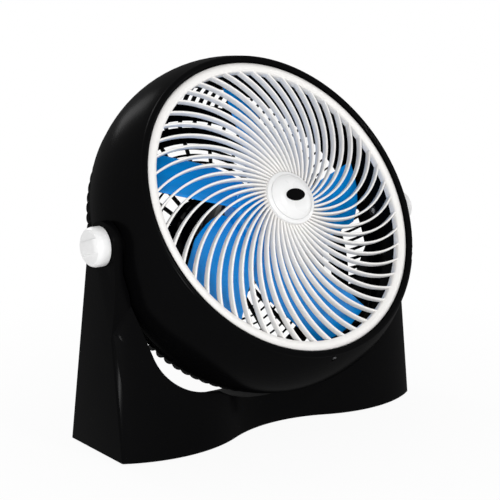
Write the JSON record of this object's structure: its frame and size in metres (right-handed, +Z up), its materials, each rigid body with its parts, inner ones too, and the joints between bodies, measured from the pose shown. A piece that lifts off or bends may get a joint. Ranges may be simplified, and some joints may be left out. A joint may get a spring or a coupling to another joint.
{
  "type": "turbo fan",
  "caption": "Floor fan with a round drum that tilts in a saddle base, spiral-rib front grille, finned rear grille, twisted blades and hand knobs at the pivots.",
  "frame": {"origin": "centre of the bounding box at floor level, under the fan", "axes": "+X to the right seen from in front, +Y to the rear, +Z up"},
  "size_m": [0.516, 0.336, 0.4779],
  "materials": {
    "black_plastic": "satin moulded",
    "white_plastic": "glossy moulded",
    "grey_plastic": "satin moulded",
    "blue_plastic": "glossy moulded",
    "steel": "zinc plated",
    "pressed_steel": "plated sheet",
    "lamination": "stacked sheet",
    "copper": "varnished wire",
    "bronze": "sintered",
    "capacitor_case": "plain",
    "rubber": "matt"
  },
  "bodies": {
    "base": {"base_shell": "black_plastic", "base_back_cover": "black_plastic", "back_cover_screws": "steel", "base_feet": "rubber", "pivot_bushes": "grey_plastic"},
    "head": {"drum_shell": "black_plastic", "front_grille": "white_plastic", "grille_hub_cap": "white_plastic", "hub_badge": "black_plastic", "grille_lock_screw": "steel", "rear_grille": "black_plastic", "rear_grille_screws": "steel", "motor_front_shield": "pressed_steel", "motor_rear_shield": "pressed_steel", "stator_core": "lamination", "stator_windings": "copper", "motor_bolts": "steel", "motor_nuts": "steel", "front_bearing": "bronze", "rear_bearing": "bronze", "run_capacitor": "capacitor_case", "speed_switch": "grey_plastic", "switch_nut": "steel", "motor_cover": "black_plastic", "motor_cover_screws": "steel", "cord_grommet": "rubber", "pivot_nuts": "steel", "friction_washers": "rubber"},
    "impeller": {"fan_blade": "blue_plastic", "blade_nut": "grey_plastic", "motor_shaft": "steel", "rotor_core": "lamination", "shaft_collars": "steel", "cross_pin": "steel"},
    "speed_dial": {"speed_knob": "grey_plastic", "switch_spindle": "steel"},
    "left_knob": {"tilt_knob_left": "white_plastic", "knob_stud_left": "steel"},
    "right_knob": {"tilt_knob_right": "white_plastic", "knob_stud_right": "steel"}
  },
  "joints": [
    {"name": "head_tilt", "type": "hinge", "parent": "base", "child": "head", "pos_m": [0, -0.016, 0.262], "axis": [-1, 0, 0], "range_deg": [-29, 61]},
    {"name": "fan_spin", "type": "hinge", "parent": "head", "child": "impeller", "pos_m": [0, -0.01212, 0.269], "axis": [0, 0.8746, -0.4848], "continuous": true},
    {"name": "speed_turn", "type": "hinge", "parent": "head", "child": "speed_dial", "pos_m": [0, 0.10158, 0.20597], "axis": [0, 0.8746, -0.4848], "range_deg": [0, 135]},
    {"name": "left_knob_turn", "type": "hinge", "parent": "base", "child": "left_knob", "pos_m": [0, -0.016, 0.262], "axis": [-1, 0, 0], "range_deg": [0, 120]},
    {"name": "right_knob_turn", "type": "hinge", "parent": "base", "child": "right_knob", "pos_m": [0, -0.016, 0.262], "axis": [1, 0, 0], "range_deg": [0, 120]}
  ]
}
